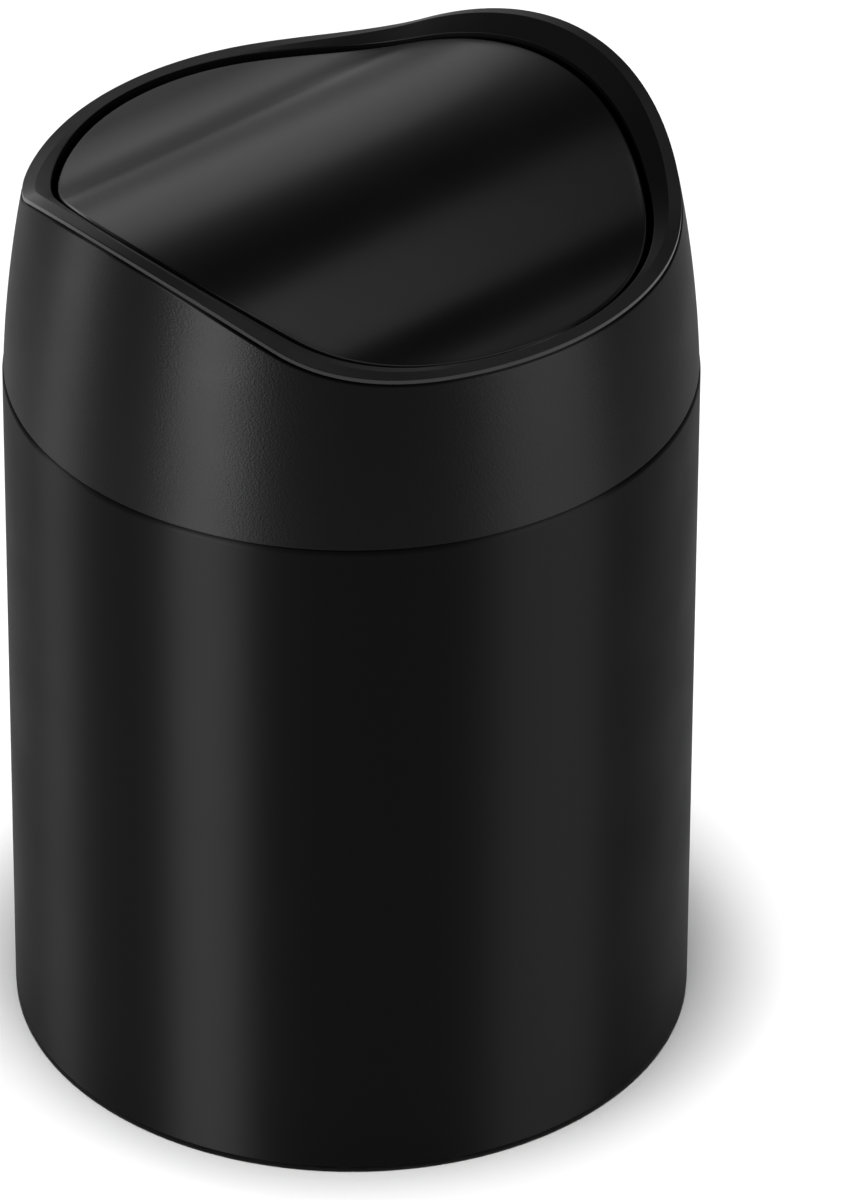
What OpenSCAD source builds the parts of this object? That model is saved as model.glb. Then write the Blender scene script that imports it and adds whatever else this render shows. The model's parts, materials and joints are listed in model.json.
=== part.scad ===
// Countertop trash can with a swing lid.
// Millimetres, +Z up, the front faces -Y, the lid swings about X.
// The origin is the centre of the base, on the surface that the can stands on.

/* [Body] */
// Outer diameter of the steel body
body_d = 130; // [110:1:160]
// Height of the steel body, from its bottom edge to the seam
body_h = 139; // [100:1:200]
// Thickness of the body's sheet steel
sheet_t = 0.6; // [0.5:0.1:0.8]
// Outer radius of the rolled hem at the top of the body
hem_r = 0.9; // [0.9:0.1:1.3]
// Length of the hem's inner leg
hem_leg = 5; // [3:0.5:10]
// Width of the lip that turns inward at the bottom of the body
bottom_lip = 2.4; // [1.5:0.1:4]

/* [Base] */
// Gap between the surface and the body's bottom edge
body_lift = 1; // [0.8:0.1:2]
// Gap between the surface and the foot disc
base_lift = 0.6; // [0.3:0.1:0.8]
// Height of the steel floor above the body's bottom edge
floor_rise = 4; // [3:0.5:10]
// Clearance round the foot disc
base_gap = 0.3; // [0.2:0.1:1]
// Thickness of the foot disc's web
base_t = 1.6; // [1.2:0.1:2.4]
// Width of the foot disc's thick outer rim
base_rim_w = 15; // [13:1:24]
// Diameter of a foot pad
pad_d = 10; // [6:0.5:12]
// Depth of the pocket that holds a foot pad
pad_seat = 1.6; // [1:0.1:2]

/* [Collar] */
// Gap that shows as the seam between body and collar
seam_gap = 0.3; // [0.3:0.1:1]
// Radius of the arc that draws the collar in towards the rim
collar_arc_r = 255; // [230:5:400]
// How far below the seam that arc starts
collar_arc_drop = 10; // [0:1:12]
// Wall of the collar
collar_wall = 2; // [1.6:0.1:2.4]
// Depth of the plug that drops into the body
plug_depth = 16; // [10:1:30]
// Wall of the plug
plug_wall = 1.8; // [1.4:0.1:2.4]
// Clearance between the plug and the body's hem
plug_gap = 0.5; // [0.3:0.1:1]
// Thickness of the collar's four screw tabs
tab_t = 2.4; // [2:0.1:4]

/* [Rim] */
// Height of the rim above the seam, at the front and back
rim_low_h = 34; // [30:1:45]
// How much higher the rim stands at the two pivots
rim_rise = 14.5; // [13:0.5:18]
// Width of the rim's level stretch at the front and back
rim_level_w = 5.4; // [3:0.1:8]
// Share of the slope that curves like a hump, before it flares out
hump_share = 0.62; // [0.5:0.01:0.7]
// Width of the rim at the pivots, from its outer edge to the opening
side_band_w = 6; // [5:0.1:7]
// Width of the rim at the front and back
front_band_w = 2.8; // [2.6:0.1:4]
// Width of the rim's lip, outside its bevel
lip_w = 2.4; // [1.5:0.1:2.6]
// Height of the lip's outer edge
lip_h = 1; // [0.8:0.1:1.5]
// Shadow gap between the lip and the collar
lip_gap = 0.35; // [0.3:0.05:0.6]
// Wall of the ring below the opening's edge
ring_wall = 1.6; // [1.4:0.1:1.9]
// Depth of that wall below the rim's low parts
ring_depth = 12; // [8:1:16]

/* [Lid] */
// Gap between the lid and the opening, all round
lid_gap = 1.1; // [1:0.1:2]
// How far the lid lies below the opening's edge
lid_sink = 0.7; // [0.6:0.1:1.5]
// How much higher the lid's ridge stands than its front and back
lid_rise = 11.4; // [9:0.1:12.4]
// How much sooner the lid comes down level than the rim
lid_lead = 4; // [2:0.5:6]
// Thickness of the lid's skin and side wall
lid_wall = 1.8; // [1.4:0.1:2.2]
// Height of the lid's side wall at its front and back
lid_edge_h = 3.4; // [3:0.1:4]
// Thickness of the plate that closes the lid from below
plate_t = 1.4; // [1.2:0.1:1.6]
// Clearance between that plate and the lid's side wall
plate_gap = 0.15; // [0.1:0.05:0.3]
// Length of the steel weight in the lid
weight_l = 60; // [30:1:76]
// Width of the weight
weight_w = 10; // [6:0.5:14]
// Height of the weight
weight_h = 4.5; // [3:0.5:5.5]
// Clearance round the weight in its cradle
weight_gap = 0.2; // [0.1:0.05:0.4]

/* [Pivot] */
// Depth of the pivot axis below the lid's ridge
axis_depth = 5.7; // [5:0.1:6.2]
// Diameter of a pivot pin
pin_d = 4; // [3:0.1:4.8]
// Radial running clearance of the pin in its bush
pin_clearance = 0.05; // [0.02:0.01:0.1]
// How far a pin reaches into the lid
pin_grip = 6; // [4:0.5:8]
// Wall of a bush
bush_wall = 1; // [0.8:0.1:1.2]
// Thickness of a bush's flange
flange_t = 0.5; // [0.4:0.1:0.6]
// Width of a bush's flange beyond its barrel
flange_w = 1; // [0.6:0.1:1.2]
// Length of a bush's barrel
bush_l = 3.4; // [2.8:0.1:3.6]
// How far the lid swings each way, in degrees
swing = 80; // [45:1:85]
// Width of the lid's stop tab
stop_w = 3; // [2:0.1:4]
// Radius that the stop tab reaches to
stop_r = 8; // [7.5:0.1:8.4]

/* [Fasteners] */
// Diameter of the screws' shanks
screw_d = 2.4; // [2:0.1:2.8]
// Diameter of the screws' heads
screw_head_d = 4.6; // [4:0.1:5.2]
// Height of the screws' heads
screw_head_h = 1.2; // [1:0.1:1.4]
// Length of the screws, head and shank
screw_l = 6.5; // [5:0.5:7]
// Angle between a collar screw and its pivot
screw_angle = 24; // [22:1:32]
// Distance of a lid screw from the middle, along the pivots
post_x = 26; // [20:1:32]
// Distance of a lid screw from the middle, front to back
post_y = 30; // [20:1:34]

/* [Hidden] */
$fn = 96;
far = 400;

// How far a cut runs past the face that it opens
over = 1;

body_r = body_d / 2;
seam_z = body_lift + body_h;
floor_z = body_lift + floor_rise;
base_r = body_r - bottom_lip - base_gap;
pad_ring_r = base_r - base_rim_w / 2;
hem_inner_r = body_r - 2 * hem_r;
plug_r = hem_inner_r - plug_gap;

// The rim's level parts and its high parts at the pivots
rim_low_z = seam_z + rim_low_h;
rim_top_z = rim_low_z + rim_rise;
arc_z = seam_z - collar_arc_drop;
rim_reach = collar_r(rim_low_z) - rim_level_w;

// The opening is an oval of four arcs: two side arcs and two end arcs that meet smoothly.
// The end arcs are tighter than its half width by a share of what its half length is more.
end_arc_share = 0.37;
opening_a = collar_r(rim_top_z) - side_band_w;
opening_b = collar_r(rim_low_z) - front_band_w;
end_arc_r = opening_a - end_arc_share * (opening_b - opening_a);
side_arc_r = (opening_a ^ 2 + opening_b ^ 2 - 2 * opening_b * end_arc_r) / (2 * (opening_a - end_arc_r));
side_arc_x = side_arc_r - opening_a;
end_arc_y = opening_b - end_arc_r;
tangent_angle = atan2(end_arc_y, side_arc_x);
tangent_x = side_arc_r * cos(tangent_angle) - side_arc_x;
tangent_y = side_arc_r * sin(tangent_angle);
ring_bottom_z = rim_low_z - ring_depth;
edge_round = 0.4;
lip_round = 0.35;
ring_skin = 1.2;

// The opening's edge is level with the rim at the front and back, and lower than it at the pivots.
edge_top_z = rim_low_z + lid_rise;
lid_low_z = rim_low_z - lid_sink;
lid_top_z = lid_low_z + lid_rise;
lid_reach = rim_reach - lid_lead;
lid_bottom_z = lid_low_z - lid_edge_h;
lid_a = opening_a - lid_gap;
plate_top_z = lid_bottom_z + plate_t;
cradle_wall = 1.2;
cradle_h = 3;

// Material round a hole in the lid, round one in the ring, and round a screw head in the collar
lid_boss_wall = 1.8;
ring_boss_wall = 1.6;
tab_wall = 1.7;
lid_post_r = screw_d / 2 + lid_boss_wall;
pin_boss_r = pin_d / 2 + lid_boss_wall;
ring_post_r = screw_d / 2 + ring_boss_wall;
tab_r = screw_head_d / 2 + tab_wall;

// How far a screw post stands into the wall beside it
post_bite = 0.4;

// Along the pivot axis, outwards from the lid's side
axis_z = lid_top_z - axis_depth;
pocket_depth = 1.3;
pocket_floor_x = opening_a + pocket_depth;
boss_end_x = pocket_floor_x + bush_l;
bush_r = pin_d / 2 + pin_clearance + bush_wall;
flange_r = bush_r + flange_w;
thrust_gap = 0.3;
thrust_step = 0.5;
thrust_r = flange_r - thrust_step;
thrust_x = pocket_floor_x - flange_t - thrust_gap;
stop_gap = 0.25;
stop_end_gap = 0.5;
pocket_r = stop_r + 2 * stop_gap;
boss_r = pocket_r + ring_wall;
sleeve_r = bush_r + ring_boss_wall;

// Clearance between pieces that meet without a fit
fit_gap = 0.3;

// Outer radius of the collar at a height
function collar_r(z) = body_r - collar_arc_r + sqrt(collar_arc_r ^ 2 - (z - arc_z) ^ 2);

// Radii of the hump and of the flare of a saddle curve, and the height at a distance from the pivot plane
function curve_sum(rise, reach) = (reach ^ 2 + rise ^ 2) / (2 * rise);
function hump_r(rise, reach) = curve_sum(rise, reach) * hump_share;
function flare_r(rise, reach) = curve_sum(rise, reach) * (1 - hump_share);
function hump_z(y, top, r) = top - r + sqrt(r ^ 2 - y ^ 2);
function flare_z(y, low, reach, r) = low + r - sqrt(r ^ 2 - (reach - y) ^ 2);
function curve_z(y, top, rise, reach) =
    abs(y) <= reach * hump_share ? hump_z(y, top, hump_r(rise, reach)) :
    flare_z(min(abs(y), reach), top - rise, reach, flare_r(rise, reach));
function rim_z(y) = curve_z(y, rim_top_z, rim_rise, rim_reach);
function edge_z(y) = curve_z(y, edge_top_z, lid_rise, lid_reach);

// Outer radius of the rim at an angle from the front, found by stepping between radius and height
function rim_r(a, z = rim_low_z, steps = 6) =
    steps == 0 ? collar_r(z) : rim_r(a, rim_z(collar_r(z) * cos(a)), steps - 1);

// Radius of the opening at an angle from the front
function opening_r(a) =
    abs(sin(a)) * tangent_y > abs(cos(a)) * tangent_x ?
    sqrt(side_arc_r ^ 2 - (side_arc_x * cos(a)) ^ 2) - side_arc_x * abs(sin(a)) :
    sqrt(end_arc_r ^ 2 - (end_arc_y * sin(a)) ^ 2) + end_arc_y * abs(cos(a));

// Area under a saddle curve, drawn with the distance from the pivot plane along x
module under_curve(top, rise, reach) {
    low = top - rise;
    depth = 60;
    split = reach * hump_share;
    split_z = hump_z(split, top, hump_r(rise, reach));
    difference() {
        union() {
            polygon([
                [-far / 2, low - depth], [far / 2, low - depth], [far / 2, low], [reach, low],
                [split, split_z], [-split, split_z], [-reach, low], [-far / 2, low]
            ]);
            intersection() {
                translate([0, top - hump_r(rise, reach)]) circle(hump_r(rise, reach));
                translate([-split, low]) square([2 * split, rise]);
            }
        }
        for (side = [-1, 1])
            translate([side * reach, low + flare_r(rise, reach)]) circle(flare_r(rise, reach));
    }
}

// The same curve carried along the pivot axis
module saddle(top, rise, reach) {
    rotate([90, 0, 90])
        linear_extrude(far, center = true)
            under_curve(top, rise, reach);
}

// The opening's oval, drawn larger by grow or smaller where grow is negative
module oval(grow) {
    intersection() {
        intersection_for(side = [-1, 1])
            translate([side * side_arc_x, 0]) circle(side_arc_r + grow);
        square([far, 2 * (side_arc_r + grow) * sin(tangent_angle)], center = true);
    }
    for (side = [-1, 1])
        translate([0, side * end_arc_y]) circle(end_arc_r + grow);
}

// Upright wall of the oval between two heights
module oval_block(grow, low, high) {
    translate([0, 0, low]) linear_extrude(high - low) oval(grow);
}

// Cylinder along X from one distance to another
module x_rod(r, from, to) {
    translate([from, 0, axis_z]) rotate([0, 90, 0]) cylinder(r = r, h = to - from);
}

// Places its children at a side of the can, the right one as drawn and the left one turned half round
module at_side(side) {
    rotate([0, 0, side > 0 ? 0 : 180]) children();
}

module at_pads(i) {
    rotate([0, 0, 45 + 90 * i]) translate([pad_ring_r, 0, 0]) children();
}

// The four collar screws stand in pairs beside the pivots.
module at_ring_screws() {
    r = opening_r(90 - screw_angle) + ring_wall + ring_post_r - post_bite;
    for (side = [-1, 1], turn = [-1, 1])
        at_side(side) rotate([0, 0, turn * screw_angle]) translate([r, 0, 0]) children();
}

module at_lid_screws() {
    for (x = [-1, 1], y = [-1, 1])
        translate([x * post_x, y * post_y, 0]) children();
}

// Countersunk screw that points up, with its head's face at z = 0 and a cross recess
module screw() {
    recess_w = 0.6;
    recess_l = 2.6;
    recess_depth = 0.8;
    difference() {
        screw_blank();
        for (turn = [0, 90])
            rotate([0, 0, turn]) translate([-recess_l / 2, -recess_w / 2, -over])
                cube([recess_l, recess_w, over + recess_depth]);
    }
}

// The space that a screw fills
module screw_blank() {
    cylinder(d1 = screw_head_d, d2 = screw_d, h = screw_head_h);
    cylinder(d = screw_d, h = screw_l);
}

module body_tube() {
    wall_top = seam_z - hem_r;
    color("#1d1d1f") rotate_extrude() {
        translate([body_r - sheet_t, body_lift]) square([sheet_t, wall_top - body_lift]);
        translate([body_r - bottom_lip, body_lift]) square([bottom_lip, sheet_t]);
        translate([hem_inner_r, wall_top - hem_leg]) square([sheet_t, hem_leg]);
        translate([body_r - hem_r, wall_top]) intersection() {
            difference() {
                circle(hem_r);
                circle(hem_r - sheet_t);
            }
            translate([-hem_r, 0]) square([2 * hem_r, hem_r]);
        }
    }
}

module floor_pan() {
    pan_r = body_r - sheet_t;
    color("#8c8c90") rotate_extrude() {
        translate([0, floor_z]) square([pan_r, sheet_t]);
        translate([pan_r - sheet_t, body_lift + sheet_t]) square([sheet_t, floor_rise]);
    }
}

module base_moulding() {
    color("#232325") difference() {
        translate([0, 0, base_lift]) cylinder(r = base_r, h = floor_z - base_lift);
        translate([0, 0, -over]) cylinder(r = base_r - base_rim_w, h = over + floor_z - base_t);
        for (i = [0:3])
            at_pads(i) translate([0, 0, base_lift - over]) cylinder(d = pad_d, h = over + pad_seat);
    }
}

module foot_pad(i) {
    color("#101011") at_pads(i) cylinder(d = pad_d, h = base_lift + pad_seat);
}

// The collar's outline in section, drawn in by inset
module collar_section(inset) {
    intersection() {
        translate([body_r - collar_arc_r, arc_z]) circle(collar_arc_r - inset);
        translate([0, seam_z - plug_depth]) square([body_r, plug_depth + rim_low_h + rim_rise]);
    }
}

module collar() {
    bottom = seam_z + seam_gap;
    color("#262628") difference() {
        union() {
            intersection() {
                rotate_extrude() difference() {
                    intersection() {
                        collar_section(0);
                        translate([0, bottom]) square([body_r, far]);
                    }
                    collar_section(collar_wall);
                }
                saddle(rim_top_z - lip_h - lip_gap, rim_rise, rim_reach);
            }
            rotate_extrude() {
                translate([plug_r - plug_wall, bottom])
                    square([collar_r(bottom) - collar_wall / 2 - plug_r + plug_wall, collar_wall]);
                translate([plug_r - plug_wall, seam_z - plug_depth])
                    square([plug_wall, plug_depth + seam_gap]);
            }
            intersection() {
                rotate_extrude() collar_section(collar_wall / 2);
                at_ring_screws() translate([0, 0, ring_bottom_z - tab_t]) {
                    cylinder(r = tab_r, h = tab_t);
                    translate([0, -tab_r, 0]) cube([body_r, 2 * tab_r, tab_t]);
                }
            }
        }
        oval_block(ring_wall + fit_gap, ring_bottom_z, rim_top_z);
        for (side = [-1, 1]) at_side(side) x_rod(bush_r + fit_gap, opening_a, boss_end_x + fit_gap);
        at_ring_screws() translate([0, 0, ring_bottom_z - tab_t]) screw_blank();
    }
}

// Section of the rim ring at an angle from the front, as radius and height
function ring_section(a) =
    let (
        outer = rim_r(a), inner = opening_r(a), c = cos(a), edge = edge_z(inner * c),
        back = max(inner + ring_wall, outer - collar_wall - lip_gap)
    )
    [
        [outer, rim_z(outer * c) - lip_h],
        [outer, rim_z(outer * c) - lip_round],
        [outer - lip_round, rim_z((outer - lip_round) * c)],
        [outer - lip_w, rim_z((outer - lip_w) * c)],
        [inner + edge_round, edge],
        [inner, edge - edge_round],
        [inner, ring_bottom_z],
        [inner + ring_wall, ring_bottom_z],
        [inner + ring_wall, edge - ring_skin],
        [back, rim_z(back * c) - lip_h],
        [outer - lip_round, rim_z(outer * c) - lip_h]
    ];

// The ring's skin: its section carried round the opening
module ring_skin_solid() {
    steps = 96;
    turn = [for (i = [0:steps - 1]) 360 * i / steps];
    n = len(ring_section(0));
    points = [for (a = turn) for (p = ring_section(a)) [p[0] * sin(a), -p[0] * cos(a), p[1]]];
    faces = [
        for (i = [0:steps - 1], j = [0:n - 1])
            let (here = i * n, next = (i + 1) % steps * n, k = (j + 1) % n)
            for (face = [[here + j, next + k, next + j], [here + j, here + k, next + k]]) face
    ];
    polyhedron(points, faces);
}

// Room that the stop tab swings through, drawn as a section across the pivot axis
module stop_pocket() {
    side_w = stop_w / 2 + stop_gap;
    near = [side_w * cos(swing), side_w * sin(swing)];
    reach = near + 2 * pocket_r * [sin(swing), -cos(swing)];
    intersection() {
        circle(pocket_r);
        polygon([
            [-reach[0], reach[1]], [-near[0], near[1]], near, reach,
            [reach[0], -2 * pocket_r], [-reach[0], -2 * pocket_r]
        ]);
    }
    circle(flange_r + stop_gap / 2);
}

module rim_ring() {
    color("#1b1b1d") difference() {
        union() {
            ring_skin_solid();
            intersection() {
                union() {
                    for (side = [-1, 1]) at_side(side) {
                        x_rod(boss_r, opening_a, pocket_floor_x + ring_wall);
                        x_rod(sleeve_r, opening_a, boss_end_x);
                    }
                    at_ring_screws() translate([0, 0, ring_bottom_z])
                        cylinder(r = ring_post_r, h = rim_top_z - ring_bottom_z);
                }
                rotate_extrude() collar_section(collar_wall + fit_gap);
                saddle(edge_top_z - edge_round, lid_rise, lid_reach);
            }
        }
        for (side = [-1, 1]) at_side(side) {
            translate([opening_a - over, 0, axis_z]) rotate([90, 0, 90])
                linear_extrude(pocket_depth + over) stop_pocket();
            x_rod(bush_r, opening_a, boss_end_x + over);
        }
        at_ring_screws() translate([0, 0, ring_bottom_z - tab_t]) screw_blank();
    }
}

module collar_screws() {
    color("#b9babd") at_ring_screws() translate([0, 0, ring_bottom_z - tab_t]) screw();
}

module pivot_bush(side) {
    color("#e8e6df") at_side(side) difference() {
        union() {
            x_rod(bush_r, pocket_floor_x - flange_t, boss_end_x);
            x_rod(flange_r, pocket_floor_x - flange_t, pocket_floor_x);
        }
        x_rod(pin_d / 2 + pin_clearance, pocket_floor_x - over, boss_end_x + over);
    }
}

module pivot_pin(side) {
    color("#c3c4c7") at_side(side) x_rod(pin_d / 2, lid_a - pin_grip, boss_end_x - fit_gap);
}

module lid_panel() {
    stop_l = lid_wall + lid_gap + pocket_depth - stop_end_gap;
    color("#202022") difference() {
        union() {
            intersection() {
                oval_block(-lid_gap, lid_bottom_z, lid_top_z + over);
                saddle(lid_top_z, lid_rise, lid_reach);
            }
            for (side = [-1, 1]) at_side(side) {
                x_rod(thrust_r, lid_a - lid_wall, thrust_x);
                translate([lid_a - lid_wall, -stop_w / 2, axis_z - stop_r])
                    cube([stop_l, stop_w, stop_r - flange_r - stop_gap]);
            }
        }
        difference() {
            intersection() {
                oval_block(-lid_gap - lid_wall, lid_bottom_z - over, lid_top_z + over);
                saddle(lid_top_z - lid_wall, lid_rise, lid_reach);
            }
            for (side = [-1, 1]) at_side(side) x_rod(pin_boss_r, lid_a - pin_grip - over, lid_a);
            at_lid_screws() translate([0, 0, plate_top_z])
                cylinder(r = lid_post_r, h = lid_rise + lid_edge_h);
        }
        for (side = [-1, 1]) at_side(side) x_rod(pin_d / 2, lid_a - pin_grip, thrust_x + over);
        at_lid_screws() translate([0, 0, lid_bottom_z]) screw_blank();
    }
}

module lid_underside() {
    color("#202022") difference() {
        union() {
            oval_block(-lid_gap - lid_wall - plate_gap, lid_bottom_z, plate_top_z);
            translate([0, 0, plate_top_z]) linear_extrude(cradle_h) difference() {
                square([weight_l, weight_w] + 2 * (weight_gap + cradle_wall) * [1, 1], center = true);
                square([weight_l, weight_w] + 2 * weight_gap * [1, 1], center = true);
            }
        }
        at_lid_screws() translate([0, 0, lid_bottom_z]) screw_blank();
    }
}

module lid_weight() {
    color("#9a9b9e") translate([-weight_l / 2, -weight_w / 2, plate_top_z])
        cube([weight_l, weight_w, weight_h]);
}

module lid_screws() {
    color("#b9babd") at_lid_screws() translate([0, 0, lid_bottom_z]) screw();
}

body_tube();
floor_pan();
base_moulding();
foot_pad(0);  // foot_pad_1
foot_pad(1);  // foot_pad_2
foot_pad(2);  // foot_pad_3
foot_pad(3);  // foot_pad_4
collar();
rim_ring();
collar_screws();
pivot_bush(-1);  // pivot_bush_left
pivot_bush(1);  // pivot_bush_right
lid_panel();
lid_underside();
lid_weight();
lid_screws();
pivot_pin(-1);  // pivot_pin_left
pivot_pin(1);  // pivot_pin_right
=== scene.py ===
import json
import math

import bmesh
import bpy
import numpy as np
from mathutils import Matrix, Vector


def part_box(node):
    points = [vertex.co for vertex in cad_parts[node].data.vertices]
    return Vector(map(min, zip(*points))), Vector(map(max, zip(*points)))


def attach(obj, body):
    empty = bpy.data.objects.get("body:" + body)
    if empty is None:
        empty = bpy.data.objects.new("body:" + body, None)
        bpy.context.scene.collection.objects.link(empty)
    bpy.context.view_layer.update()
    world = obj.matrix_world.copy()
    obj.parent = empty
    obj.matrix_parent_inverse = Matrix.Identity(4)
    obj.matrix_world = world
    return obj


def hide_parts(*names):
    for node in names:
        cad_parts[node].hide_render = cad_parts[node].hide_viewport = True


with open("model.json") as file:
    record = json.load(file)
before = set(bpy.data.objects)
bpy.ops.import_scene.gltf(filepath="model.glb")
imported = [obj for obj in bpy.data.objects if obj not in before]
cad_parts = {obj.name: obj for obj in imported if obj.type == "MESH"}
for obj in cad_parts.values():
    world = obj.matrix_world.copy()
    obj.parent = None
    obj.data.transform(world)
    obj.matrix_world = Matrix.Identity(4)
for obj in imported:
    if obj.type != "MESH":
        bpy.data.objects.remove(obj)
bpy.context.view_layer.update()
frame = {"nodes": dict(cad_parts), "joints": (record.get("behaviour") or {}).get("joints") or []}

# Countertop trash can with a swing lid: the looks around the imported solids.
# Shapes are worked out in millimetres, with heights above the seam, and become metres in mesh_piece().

MM = 0.001

# Sizes of the frame
BODY_LOW, BODY_HIGH = (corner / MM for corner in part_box("body_tube"))
BODY_R = BODY_HIGH.x
BODY_LIFT = BODY_LOW.z
SEAM = BODY_HIGH.z
RING_BOTTOM, RIM_TOP = (corner.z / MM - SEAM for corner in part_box("rim_ring"))
LID_BOTTOM, LID_TOP = (corner.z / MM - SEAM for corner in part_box("lid_panel"))
BUSH_START, BUSH_END = (corner.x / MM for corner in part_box("pivot_bush_right"))
AXIS = frame["joints"][1]["pos_m"][2] / MM - SEAM

# Shape of the body's sheet steel
SHEET = 0.6
HEM_R = 0.9
HEM_LEG = 5
BOTTOM_LIP = 2.4  # width of the lip turned in below
BEND_R = 0.6
INNER_BEND_R = 0.1
CUT_EDGE_R = 0.25  # where the sheet was cut and deburred

# Shape of the collar
COLLAR_ARC_R = 255
COLLAR_ARC_DROP = 10
COLLAR_WALL = 2
SEAM_GAP = 0.3
PLUG_DEPTH = 16
PLUG_WALL = 1.8
PLUG_R = BODY_R - 2 * HEM_R - 0.5

# Shape of the rim and its saddle curve
RIM_RISE = 14.5
RIM_LOW = RIM_TOP - RIM_RISE
RIM_LEVEL_W = 5.4  # how far the saddle's level end reaches inwards
HUMP_SHARE = 0.62  # share of the saddle's reach that is its hump
SIDE_BAND = 6  # the ring's width beside a pivot
FRONT_BAND = 2.8  # the ring's width at the front and back
LIP_W = 2.4
LIP_H = 1
LIP_GAP = 0.35
LIP_ROUND = 0.2
RING_WALL = 1.6
RING_SKIN = 1.2
RING_EDGE_R = 0.4
END_ARC_SHARE = 0.37  # of the oval's extra length, taken off the radius of its end arcs
COLLAR_DROP = LIP_H + LIP_GAP  # how far the collar's top lies below the saddle

# Shape of the lid
LID_RISE = 11.4
LID_GAP = 1.1
LID_LEAD = 4  # how much sooner the lid's curve is level than the rim's
LID_WALL = 1.8
LID_EDGE_R = 0.8
LID_FOOT_R = 0.3
EDGE_TOP = RIM_LOW + LID_RISE  # top of the curve that the ring's inner edge follows

# Shape of the floor, the foot disc and its pads
FLOOR_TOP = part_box("floor_pan")[1].z / MM
FLOOR_BEND_R = 1.5
BASE_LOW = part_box("base_moulding")[0].z / MM
BASE_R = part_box("base_moulding")[1].x / MM
BASE_RIM_W = 15
BASE_WEB = 1.6
BASE_EDGE_R = 0.6
PAD_R = 5
PAD_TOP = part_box("foot_pad_1")[1].z / MM
PAD_EDGE_R = 0.5

# Screws, and what they stand in
SCREW_R = 1.2
SCREW_HEAD_R = 2.3
SCREW_HEAD_H = 1.2
SCREW_L = 6.5
SCREW_ANGLE = 24  # from the pivot line, in degrees
RING_POST_R = SCREW_R + 1.6
POST_BITE = 0.4  # how far a screw post stands in the ring's wall
POST_INSET = 0.01  # keeps its end out of the plane of the wall's edge
TAB_T = 2.4
TAB_R = SCREW_HEAD_R + 1.7
POST_X, POST_Y = 26, 30
LID_POST_R = SCREW_R + 1.8
PLATE_TOP = LID_BOTTOM + 1.4
FIT_GAP = 0.3

# Pivots
PIN_R = 2
BUSH_R = 3.05
FLANGE_R = BUSH_R + 1
BUSH_L = 3.4  # length of a bush in its bore
POCKET_FLOOR = BUSH_END - BUSH_L
OPENING_A = POCKET_FLOOR - 1.3  # half the opening's width, from pivot to pivot
LID_A = OPENING_A - LID_GAP  # half the lid's width
PIN_GRIP = 6
PIN_BOSS_R = PIN_R + 1.8
PIN_BOSS_FLOOR = 1
SLEEVE_R = BUSH_R + 1.6
SLEEVE_INSET = 0.1  # keeps its end out of the plane of the boss's face
THRUST_R = FLANGE_R - 0.5
THRUST_X = BUSH_START - 0.3
STOP_W = 3
STOP_R = 8
STOP_GAP = 0.25
STOP_L = LID_WALL + LID_GAP + 0.8
SWING = 80  # each way, in degrees
POCKET_R = STOP_R + 2 * STOP_GAP
BOSS_R = POCKET_R + RING_WALL

# Studio, in degrees and metres
CAMERA_PLACE = (-1.0428, -1.1787, 1.1404)
CAMERA_AZIMUTH = -41.5
CAMERA_ELEVATION = 33.813
WALL_AZIMUTH = 140
WALL_LEVEL = 0.24
DIM_ROOM = 0.03
FLOOR_RADIUS = 6
FLOOR_GLOW = 0.1
# Painted shade on the floor: its glow is nothing within the first distance from the can's axis and full
# past the second
PAINTED_SHADE_INNER, PAINTED_SHADE_OUTER = 0.066, 0.14
LIGHT_CENTRE = 0.09

# Steps round the can, across a rounded corner and in a search for a height on the collar's arc
TURNS = 360
ANGLES = np.arange(TURNS) * 2 * math.pi / TURNS
CORNER_STEPS = 5
PASSES = 8

# How far a cutting tool goes past what it cuts, and the distance in metres at which doubled points join
OVERSHOOT = 1
WELD = 0.000002

SIDES = (-1, 1)


def between(start, end, share):
    return start + share * (end - start)


def collar_r(z):
    """Outer radius of the collar at a height."""
    return BODY_R - COLLAR_ARC_R + np.sqrt(COLLAR_ARC_R ** 2 - (z + COLLAR_ARC_DROP) ** 2)


RIM_REACH = collar_r(RIM_LOW) - RIM_LEVEL_W
LID_REACH = RIM_REACH - LID_LEAD


def saddle_z(y, top, rise, reach):
    """Height of a saddle curve at a distance from the pivot plane: a hump, a flare and a level end."""
    total = (reach ** 2 + rise ** 2) / (2 * rise)
    hump, flare = total * HUMP_SHARE, total * (1 - HUMP_SHARE)
    y, turn = np.abs(y), reach * HUMP_SHARE
    on_hump = top - hump + np.sqrt(hump ** 2 - np.minimum(y, turn) ** 2)
    on_flare = top - rise + flare - np.sqrt(flare ** 2 - (reach - np.clip(y, turn, reach)) ** 2)
    return np.where(y <= turn, on_hump, on_flare)


def rim_z(y):
    return saddle_z(y, RIM_TOP, RIM_RISE, RIM_REACH)


def edge_z(y):
    return saddle_z(y, EDGE_TOP, LID_RISE, LID_REACH)


def lid_z(y):
    return saddle_z(y, LID_TOP, LID_RISE, LID_REACH)


def rim_r(angle, drop=0):
    """Outer radius at an angle from the front, where the collar meets the saddle or a curve below it."""
    z = np.full_like(angle, RIM_LOW - drop)
    for _ in range(PASSES):
        z = rim_z(collar_r(z) * np.cos(angle)) - drop
    return collar_r(z)


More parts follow.
